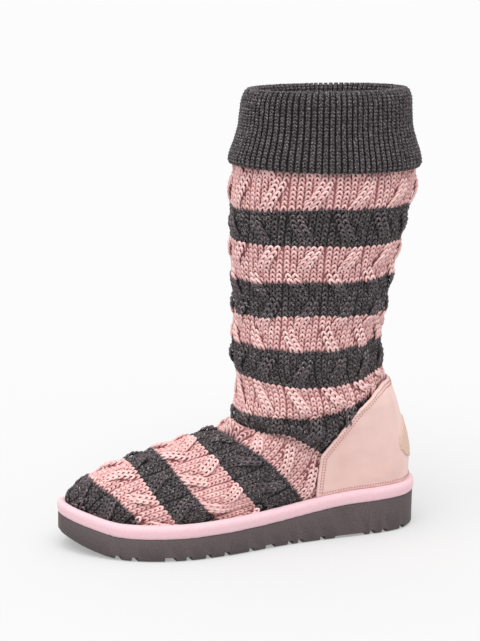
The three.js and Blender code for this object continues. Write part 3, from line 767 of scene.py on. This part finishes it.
# Yarn: a soft twist of fibres along each stitch, with painted shade where its feet dip under the next head and a
# painted highlight on its head.
yarn_effect, yarn_nodes, yarn_links, yarn_in, yarn_out = effect(
    "yarn",
    [("Dark", "colour"), ("Middle", "colour"), ("Light", "colour"), ("Fibre", "colour"), ("Fibre Share", "value")],
    [("Colour", "colour"), ("Normal", "normal")],
)


def yarn_math(operation, first, second, third=None):
    step = yarn_nodes.new("ShaderNodeMath")
    step.operation = operation
    for socket, value in zip(step.inputs, (first, second, third)):
        if isinstance(value, (int, float)):
            socket.default_value = value
        elif value is not None:
            yarn_links.new(value, socket)
    return step.outputs["Value"]


def yarn_mix(factor, first, second):
    step = yarn_nodes.new("ShaderNodeMix")
    step.data_type = "RGBA"
    yarn_links.new(factor, step.inputs["Factor"])
    yarn_links.new(first, step.inputs["A"])
    yarn_links.new(second, step.inputs["B"])
    return step.outputs["Result"]


def yarn_noise(vector, scale, detail):
    step = yarn_nodes.new("ShaderNodeTexNoise")
    step.inputs["Scale"].default_value = scale
    step.inputs["Detail"].default_value = detail
    yarn_links.new(vector, step.inputs["Vector"])
    return step.outputs["Fac"]


def yarn_range(value, low, high):
    step = yarn_nodes.new("ShaderNodeMapRange")
    for label, bound in (("From Min", low), ("From Max", high)):
        if isinstance(bound, float):
            step.inputs[label].default_value = bound
        else:
            yarn_links.new(bound, step.inputs[label])
    yarn_links.new(value, step.inputs["Value"])
    return step.outputs["Result"]


yarn_place = yarn_nodes.new("ShaderNodeTexCoord").outputs["Object"]
yarn_tint = yarn_nodes.new("ShaderNodeAttribute")
yarn_tint.attribute_name = "tint"
yarn_uv = yarn_nodes.new("ShaderNodeUVMap")
yarn_uv.uv_map = "yarn"
yarn_split = yarn_nodes.new("ShaderNodeSeparateXYZ")
yarn_links.new(yarn_uv.outputs["UV"], yarn_split.inputs["Vector"])
yarn_along, yarn_round = yarn_split.outputs["X"], yarn_split.outputs["Y"]
twist = yarn_math("ADD", yarn_math("MULTIPLY", yarn_along, 5.0), yarn_math("MULTIPLY", yarn_round, 2.0))
ply = yarn_math("PINGPONG", twist, 0.5)
streak_at = yarn_nodes.new("ShaderNodeCombineXYZ")
yarn_links.new(yarn_math("MULTIPLY", twist, 2.6), streak_at.inputs["X"])
yarn_links.new(yarn_math("MULTIPLY", yarn_along, 2.2), streak_at.inputs["Y"])
yarn_links.new(yarn_math("MULTIPLY", yarn_tint.outputs["Fac"], 90.0), streak_at.inputs["Z"])
streak = yarn_noise(streak_at.outputs["Vector"], 1.6, 2.0)
fluff = yarn_noise(yarn_place, 1100.0, 3.0)
# Painted light along each stitch: its head is lightened as a painted highlight and its feet are darkened as
# painted shade.
feet_shade_mask = yarn_math("ABSOLUTE", yarn_math("MULTIPLY_ADD", yarn_along, 2.0, -1.0), 0.0)
head = yarn_math("SUBTRACT", 1.0, feet_shade_mask)
tone = yarn_math("ADD", yarn_math("MULTIPLY", head, 0.75), yarn_tint.outputs["Fac"])
tone = yarn_math("ADD", tone, yarn_math("MULTIPLY_ADD", ply, 0.5, -0.15))
low_tone = yarn_mix(yarn_range(tone, 0.1, 0.5), yarn_in.outputs["Dark"], yarn_in.outputs["Middle"])
full_tone = yarn_mix(yarn_range(tone, 0.5, 1.0), low_tone, yarn_in.outputs["Light"])
share = yarn_in.outputs["Fibre Share"]
loose = yarn_math("MULTIPLY_ADD", fluff, 0.35, yarn_math("MULTIPLY", streak, 0.65))
fibres = yarn_range(loose, share, yarn_math("ADD", share, 0.12))
yarn_links.new(yarn_mix(fibres, full_tone, yarn_in.outputs["Fibre"]), yarn_out.inputs["Colour"])
yarn_bump = yarn_nodes.new("ShaderNodeBump")
yarn_bump.inputs["Strength"].default_value = 0.5
yarn_bump.inputs["Distance"].default_value = 0.0005
yarn_links.new(yarn_math("MULTIPLY_ADD", fluff, 0.6, ply), yarn_bump.inputs["Height"])
yarn_links.new(yarn_bump.outputs["Normal"], yarn_out.inputs["Normal"])


def yarn_material(name, dark, middle, light, fibre, fibre_share):
    material, material_nodes, links, shader = new_material(name, 0.85)
    shader.inputs["Sheen Weight"].default_value = 0.1
    yarn = material_nodes.new("ShaderNodeGroup")
    yarn.node_tree = yarn_effect
    tones = {"Dark": dark, "Middle": middle, "Light": light, "Fibre": fibre, "Fibre Share": fibre_share}
    for label, value in tones.items():
        yarn.inputs[label].default_value = value
    links.new(yarn.outputs["Colour"], shader.inputs["Base Color"])
    links.new(yarn.outputs["Normal"], shader.inputs["Normal"])
    return material


YARN_TINT, TINT_SPREAD, STRAND_HIGHLIGHT = 0.1, 0.1, 0.25
# The dark and light tones of each yarn carry the painted shade at a stitch's feet and the painted highlight at its
# head.
pink_yarn = yarn_material(
    "pink_yarn", srgb(176, 117, 117), srgb(212, 164, 162), srgb(232, 196, 192), srgb(243, 216, 211), 0.56)
charcoal_yarn = yarn_material(
    "charcoal_yarn", srgb(15, 9, 11), srgb(44, 36, 39), srgb(80, 70, 73), srgb(176, 165, 166), 0.55)
rng = np.random.default_rng(7)
paths, path_normals = stitch_paths(rng)
radii = np.array([row["thick"] for row in arch_path]) * YARN / 1000
# The tone of a crossing strand is raised as a painted highlight, where it stands proud of the panel.
tints = rng.normal(YARN_TINT, TINT_SPREAD, len(centres)) + STRAND_HIGHLIGHT * (ways != 0)
FIRST_LEG_STRIPE = 7
pink = np.array([row["stripe"].startswith("pink") for row in stripe_lines])[stripes.astype(int)]
leg = stripes >= FIRST_LEG_STRIPE
groups = [
    {"name": "pink_leg_knit", "chosen": pink & leg, "yarn": pink_yarn},
    {"name": "charcoal_leg_knit", "chosen": ~pink & leg, "yarn": charcoal_yarn},
    {"name": "pink_foot_knit", "chosen": pink & ~leg, "yarn": pink_yarn},
    {"name": "charcoal_foot_knit", "chosen": ~pink & ~leg, "yarn": charcoal_yarn},
]
for group in groups:
    chosen = group["chosen"]
    piece = yarn_object(group["name"], paths[chosen], path_normals[chosen], radii, tints[chosen])
    finish_piece(piece, group["yarn"], "knit")

# Back of the knit: the yarn that runs between and behind the stitches, in each stripe's colour darkened as painted
# shade in the gaps.
# It is one closed thin wall that follows the folds and fills the raised strands from behind.
GROUND_DEPTHS = (2.5, 3.9)
SHORT_OF_END = 0.9999
ground_arc = np.linspace(0, 1, ROUND + 1)


def wall_points(depth):
    halves = []
    for side in (0, 1):
        arc = ground_arc[None] * reach[:, side][:, None] * (1 if side == 0 else -1)
        place = np.repeat(places[:, None], ROUND + 1, 1)
        point, normal, _ = with_normals(place, arc * SHORT_OF_END)
        lift = fold_height(place, arc) + plait_height(place, arc) - depth
        halves.append(point + normal * lift[..., None])
    return to_metres(np.concatenate([halves[0], halves[1][:, -1:0:-1]], 1))


outer_wall, inner_wall = (wall_points(depth) for depth in GROUND_DEPTHS)
rows, columns = outer_wall.shape[:2]
ground_mesh = bpy.data.meshes.new("knit_ground")
ground_vertices = np.concatenate([outer_wall.reshape(-1, 3), inner_wall.reshape(-1, 3)])
ground_faces = []
other = rows * columns
for i in range(rows - 1):
    for k in range(columns):
        n = (k + 1) % columns
        if k == ROUND and not closures[i + 1]:
            continue
        ground_faces.append((i * columns + k, i * columns + n, (i + 1) * columns + n, (i + 1) * columns + k))
ways_round = {(sheet[c], sheet[(c + 1) % 4]) for sheet in ground_faces for c in range(4)}
ground_faces += [tuple(other + v for v in reversed(sheet)) for sheet in ground_faces]
ground_faces += [(b, a, other + a, other + b) for a, b in sorted(ways_round) if (b, a) not in ways_round]
ground_mesh.from_pydata(ground_vertices.tolist(), [], ground_faces)
ground_place = ground_mesh.attributes.new("place", "FLOAT", "POINT")
ground_place.data.foreach_set("value", np.tile(np.repeat(places, columns), 2).astype(np.float32))
ground_mesh.polygons.foreach_set("use_smooth", np.ones(len(ground_faces), bool))
ground_mesh.update()
ground = bpy.data.objects.new("knit_ground", ground_mesh)
bpy.context.scene.collection.objects.link(ground)
ground_shade_paint, ground_nodes, ground_links, ground_shader = new_material("knit_back_shade", 0.95)
ground_at = ground_nodes.new("ShaderNodeAttribute")
ground_at.attribute_name = "place"
ground_fold = ground_nodes.new("ShaderNodeMath")
ground_fold.operation = "MODULO"
ground_fold.inputs[1].default_value = 2.0
ground_links.new(ground_at.outputs["Fac"], ground_fold.inputs[0])
ground_step = ground_nodes.new("ShaderNodeMath")
ground_step.operation = "GREATER_THAN"
ground_step.inputs[1].default_value = 1.0
ground_links.new(ground_fold.outputs["Value"], ground_step.inputs[0])
ground_mix = ground_nodes.new("ShaderNodeMix")
ground_mix.data_type = "RGBA"
# Charcoal and rose by stripe, both far darker than the yarn: painted shade between the stitches.
ground_mix.inputs["A"].default_value = srgb(18, 13, 15)
ground_mix.inputs["B"].default_value = srgb(134, 80, 81)
ground_links.new(ground_step.outputs["Value"], ground_mix.inputs["Factor"])
ground_links.new(ground_mix.outputs["Result"], ground_shader.inputs["Base Color"])
add_grain(ground_nodes, ground_links, ground_shader, 500.0, 0.6, 0.0008)
finish_piece(ground, ground_shade_paint, "knit", "upper")

# Seams of the counter: twin rows of rose thread inside its front and upper edge, and one row round
# its foot over the rand. Each stitch is a short length of thread that dips in at both ends.
SEAM_PITCH = 2.2
SEAM_INSETS = (1.9, 4.0)
SEAM_OVER_RAND = 2.8
SEAM_MIDDLE = (30.0, 45.0)
SEAM_BACK = 25.0
FOOT_SEAM_START = 3.0
EDGE_TURNS = np.linspace(-0.3, 1.75, 90)
EDGE_BETWEEN = (5.0, 95.0)
RAND_LEVELS = np.arange(0.05, 0.015, -0.0003)
LOWEST_RAND = 15.0
BACK_TURNS = np.linspace(0.03, math.pi - 0.03, 60)
counter_shell = tree_of(counter)


def counter_edge():
    # The edge seen from the side, front to back, found by halving outward from the counter's middle
    points = []
    for turn in EDGE_TURNS:
        nearer, farther = EDGE_BETWEEN
        for _ in range(HALVINGS + 1):
            middle = (nearer + farther) / 2
            spot = (SEAM_MIDDLE[0] + middle * math.cos(turn), SEAM_MIDDLE[1] + middle * math.sin(turn))
            if face_of(counter_shell, *spot, 1) is None:
                farther = middle
            else:
                nearer = middle
        points.append((SEAM_MIDDLE[0] + nearer * math.cos(turn), SEAM_MIDDLE[1] + nearer * math.sin(turn)))
    return np.array(points)


counter_rim = counter_edge()


def rand_top(centre, way):
    for up in RAND_LEVELS:
        if rand_tree.ray_cast(centre + way * FAR + Vector((0, 0, up)), -way)[0] is not None:
            return up * 1000
    return LOWEST_RAND


def seam_line(inset):
    # Points of a seam over the outer side, round the back and over the inner side, with normals.
    # With no inset it is the row over the rand.
    if inset is None:
        front = counter_rim[:, 0].max() - FOOT_SEAM_START
        flat = [(along, None) for along in np.arange(front, SEAM_BACK, -1.0)]
    else:
        edge = counter_rim[counter_rim[:, 0].argmax():]
        lean = np.gradient(edge, axis=0)
        lean /= np.linalg.norm(lean, axis=1, keepdims=True)
        inner = edge + np.stack([-lean[:, 1], lean[:, 0]], 1) * inset
        flat = [tuple(point) for point in inner if point[0] > SEAM_BACK]
    side = Vector((1, 0, 0))
    stations = [(Vector((0, (SOLE_LENGTH / 2 - along) / 1000, 0)), side, up) for along, up in flat]
    rear = Vector((0, (SOLE_LENGTH / 2 - SEAM_BACK) / 1000, 0))
    fan = [(rear, Vector((math.cos(turn), math.sin(turn), 0)), flat[-1][1]) for turn in BACK_TURNS]
    stations += fan + [(centre, -side, up) for centre, _, up in reversed(stations)]
    points, outs = [], []
    for centre, way, up in stations:
        lowest = rand_top(centre, way) + SEAM_OVER_RAND
        height = lowest if up is None else up
        if height < lowest - 0.2:
            continue
        hit, out, _, _ = counter_shell.ray_cast(centre + way * FAR + Vector((0, 0, height / 1000)), -way)
        if hit is not None:
            points.append(hit)
            outs.append(out)
    return np.array(points), np.array(outs)


seam_stitch = [
    # Along the seam, above the suede and half thickness of the thread, all in mm
    {"along": -0.5, "rise": -0.45, "thick": 0.0},
    {"along": -0.3, "rise": 0.06, "thick": 0.42},
    {"along": 0.0, "rise": 0.2, "thick": 0.5},
    {"along": 0.3, "rise": 0.06, "thick": 0.42},
    {"along": 0.5, "rise": -0.45, "thick": 0.0},
]
stitch_share, stitch_rise, stitch_thick = (
    np.array([row[label] for row in seam_stitch]) for label in ("along", "rise", "thick"))
seam_paths, seam_normals = [], []
for inset in SEAM_INSETS + (None,):
    points, outs = seam_line(inset)
    run = np.concatenate([[0], np.cumsum(np.linalg.norm(np.diff(points, axis=0), axis=1))]) * 1000
    for centre in np.arange(SEAM_PITCH / 2, run[-1] - SEAM_PITCH / 2, SEAM_PITCH):
        at = np.stack([np.interp(centre + stitch_share, run, points[:, i]) for i in range(3)], 1)
        out = np.stack([np.interp(centre + stitch_share, run, outs[:, i]) for i in range(3)], 1)
        seam_paths.append(at + out * stitch_rise[:, None] / 1000)
        seam_normals.append(out)
seam_thread = yarn_material(
    "seam_thread", srgb(150, 92, 86), srgb(182, 122, 114), srgb(206, 150, 142), srgb(214, 164, 156), 0.6)
seam_tints = np.full(len(seam_paths), YARN_TINT)
seams = yarn_object(
    "counter_seams", np.array(seam_paths), np.array(seam_normals), stitch_thick / 1000, seam_tints)
finish_piece(seams, seam_thread, None)

# Cuff: the top of the same tube in fine rib of charcoal yarn, turned down over itself. The fold is a
# soft roll that stands higher at the back, and the lower edge curls in a little and hangs lowest at
# the sides. Courses and yarn are in mm here, the rest in metres.
CUFF_RIBS = 84
RIB_COURSE = 2.35
RIB_YARN = 0.95
RIB_UNEVEN = 0.06
RIB_TINT = 0.05
TURNS = 168
ROLL = 0.0026
EDGE_RISE = 0.001
RIM_DEPTH = 0.0045
INSIDE_DEPTH = 0.034
OUTER_LEVELS, INNER_LEVELS = 24, 12
RADIUS_SMOOTHINGS, PROFILE_SMOOTHINGS = 6, 2
RIM_RISE, RIM_RISE_REAR, EDGE_LIFT = 0.0003, 0.0036, 0.002
cuff_tree = tree_of(nodes["cuff"])
cuff_low, cuff_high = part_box("cuff")
cuff_middle = (cuff_low + cuff_high) / 2
top = cuff_high.z


def cuff_radius(turn, up, inner):
    way = Vector((math.cos(turn), math.sin(turn), 0))
    centre = Vector((0, cuff_middle.y, up))
    if inner:
        hit = cuff_tree.ray_cast(centre, way)[0]
    else:
        hit = cuff_tree.ray_cast(centre + way * FAR, -way)[0]
    return (hit - centre).length


# The profile of the cuff at each turn: the curled lower edge, the outside, the rim and the inside.
outer_levels = np.linspace(cuff_low.z + EDGE_RISE + ROLL, top - RIM_DEPTH, OUTER_LEVELS)
inner_levels = np.linspace(top - RIM_DEPTH, top - INSIDE_DEPTH, INNER_LEVELS)
turns = np.arange(TURNS) / TURNS * 2 * math.pi
outer_radius = np.array([[cuff_radius(t, z, False) for t in turns] for z in outer_levels])
inner_radius = np.array([[cuff_radius(t, z, True) for t in turns] for z in inner_levels])
for _ in range(RADIUS_SMOOTHINGS):
    outer_radius = (np.roll(outer_radius, 1, 1) + 2 * outer_radius + np.roll(outer_radius, -1, 1)) / 4
    inner_radius = (np.roll(inner_radius, 1, 1) + 2 * inner_radius + np.roll(inner_radius, -1, 1)) / 4
rim_radius = (outer_radius[-1] + inner_radius[0]) / 2
rim_half = (outer_radius[-1] - inner_radius[0]) / 2
profile = []
for lean in (1.5, 1.0, 0.5):
    height = outer_levels[0] - ROLL * math.sin(lean)
    profile.append((outer_radius[0] - ROLL * (1 - math.cos(lean)), np.full(TURNS, height)))
profile += [(r, np.full(TURNS, z)) for r, z in zip(outer_radius, outer_levels)]
for k in range(1, 6):
    lean = math.pi * k / 6
    height = outer_levels[-1] + (top - outer_levels[-1]) * math.sin(lean)
    profile.append((rim_radius + rim_half * math.cos(lean), np.full(TURNS, height)))
profile += [(r, np.full(TURNS, z)) for r, z in zip(inner_radius, inner_levels)]
cuff_face = np.array([
    np.stack([radius * np.cos(turns), cuff_middle.y + radius * np.sin(turns), height], -1)
    for radius, height in profile
])


def rim_rise(y, z):
    rear = np.clip((y - cuff_low.y) / (cuff_high.y - cuff_low.y), 0, 1)
    rise = ease((z - cuff_low.z) / (top - cuff_low.z))
    return (RIM_RISE + RIM_RISE_REAR * rear) * rise + EDGE_LIFT * (2 * rear - 1) ** 2 * (1 - rise)


cuff_face[..., 2] += rim_rise(cuff_face[..., 1], cuff_face[..., 2])
for _ in range(PROFILE_SMOOTHINGS):
    cuff_face[1:-1] = (cuff_face[:-2] + 2 * cuff_face[1:-1] + cuff_face[2:]) / 4
cuff_run = np.concatenate([[0], np.cumsum(np.linalg.norm(np.diff(cuff_face, axis=0), axis=2).mean(1))]) * 1000


def on_cuff(run, turn):
    # A point of the cuff at a length in mm up from its lower edge and over the rim, and a turn from 0 to 1
    level = np.interp(run, cuff_run, np.arange(len(cuff_run)))
    low = np.minimum(level.astype(int), len(cuff_run) - 2)
    f = (level - low)[..., None]
    spot = (turn % 1) * TURNS
    left = spot.astype(int) % TURNS
    right = (left + 1) % TURNS
    g = (spot - spot.astype(int))[..., None]
    lower = cuff_face[low, left] * (1 - g) + cuff_face[low, right] * g
    upper = cuff_face[low + 1, left] * (1 - g) + cuff_face[low + 1, right] * g
    return lower * (1 - f) + upper * f


RUN_STEP = 0.8
TURN_STEP = 0.004


def cuff_frame(run, turn):
    point = on_cuff(run, turn)
    up_by = on_cuff(run + RUN_STEP, turn) - on_cuff(run - RUN_STEP, turn)
    round_by = on_cuff(run, turn + TURN_STEP) - on_cuff(run, turn - TURN_STEP)
    normal = np.cross(round_by, up_by)
    return point, normal / np.maximum(np.linalg.norm(normal, axis=-1, keepdims=True), 1e-12)


FIRST_COURSE = 0.8
LAST_COURSE = 0.5
rib_courses = np.arange(FIRST_COURSE, cuff_run[-1] - LAST_COURSE, RIB_COURSE)
rib_columns = (np.arange(CUFF_RIBS) + 0.5) / CUFF_RIBS
rib_turn, rib_run = (grid.reshape(-1) for grid in np.meshgrid(rib_columns, rib_courses))
rib_arch = [
    # Half of a rib's stitch: across in ribs, along in courses, height in mm
    {"across": -0.09, "along": -0.8, "height": -1.2, "thick": 0.3},
    {"across": -0.19, "along": -0.35, "height": -0.45, "thick": 0.68},
    {"across": -0.19, "along": 0.2, "height": 0.1, "thick": 0.86},
    {"across": 0.0, "along": 0.45, "height": 0.05, "thick": 0.74},
]
rib_path = rib_arch + [dict(row, across=-row["across"]) for row in reversed(rib_arch[:-1])]
run = rib_run[:, None] + np.array([row["along"] for row in rib_path])[None] * RIB_COURSE
turn = rib_turn[:, None] + np.array([row["across"] for row in rib_path])[None] / CUFF_RIBS
rib_point, rib_normal = cuff_frame(run, turn)
rib_height = np.array([row["height"] for row in rib_path])[None]
rib_height = rib_height + rng.normal(0, RIB_UNEVEN, (len(rib_run), 1))
rib_paths = rib_point + rib_normal * rib_height[..., None] / 1000
rib_radii = np.array([row["thick"] for row in rib_path]) * RIB_YARN / 1000
cuff_yarn = yarn_material(
    "cuff_yarn", srgb(13, 8, 10), srgb(40, 33, 36), srgb(78, 68, 71), srgb(170, 160, 161), 0.53)
rib_tints = rng.normal(RIB_TINT, TINT_SPREAD, len(rib_run))
PAST_RIM = 3
outside = rib_run < cuff_run[OUTER_LEVELS + 2] + PAST_RIM
for name, chosen in (("cuff_rib_outside", outside), ("cuff_rib_inside", ~outside)):
    piece = yarn_object(name, rib_paths[chosen], rib_normal[chosen], rib_radii, rib_tints[chosen])
    finish_piece(piece, cuff_yarn, "knit_cuff")

# Back of the cuff: the ground of the rib in charcoal darkened as painted shade, seen only in the furrows between
# two ribs.
# It is the cuff's own double layer, a little thinner than the knit that stands on it.
CUFF_GROUND_DEPTH = 0.0014
cuff_ground = smooth_copy("cuff", "cuff_ground", 60)
bpy.ops.object.mode_set(mode="EDIT")
bpy.ops.mesh.select_all(action="SELECT")
bpy.ops.transform.shrink_fatten(value=-CUFF_GROUND_DEPTH)
bpy.ops.object.mode_set(mode="OBJECT")
for vertex in cuff_ground.data.vertices:
    vertex.co.z += float(rim_rise(vertex.co.y, vertex.co.z))
cuff_back_shade, cuff_back_nodes, cuff_back_links, cuff_back_shader = new_material("cuff_back_shade", 0.95)
# Darker than the cuff yarn: painted shade in the furrows between the ribs.
cuff_back_shader.inputs["Base Color"].default_value = srgb(17, 12, 14)
add_grain(cuff_back_nodes, cuff_back_links, cuff_back_shader, 500.0, 0.6, 0.0008)
finish_piece(cuff_ground, cuff_back_shade, "knit_cuff", "cuff")
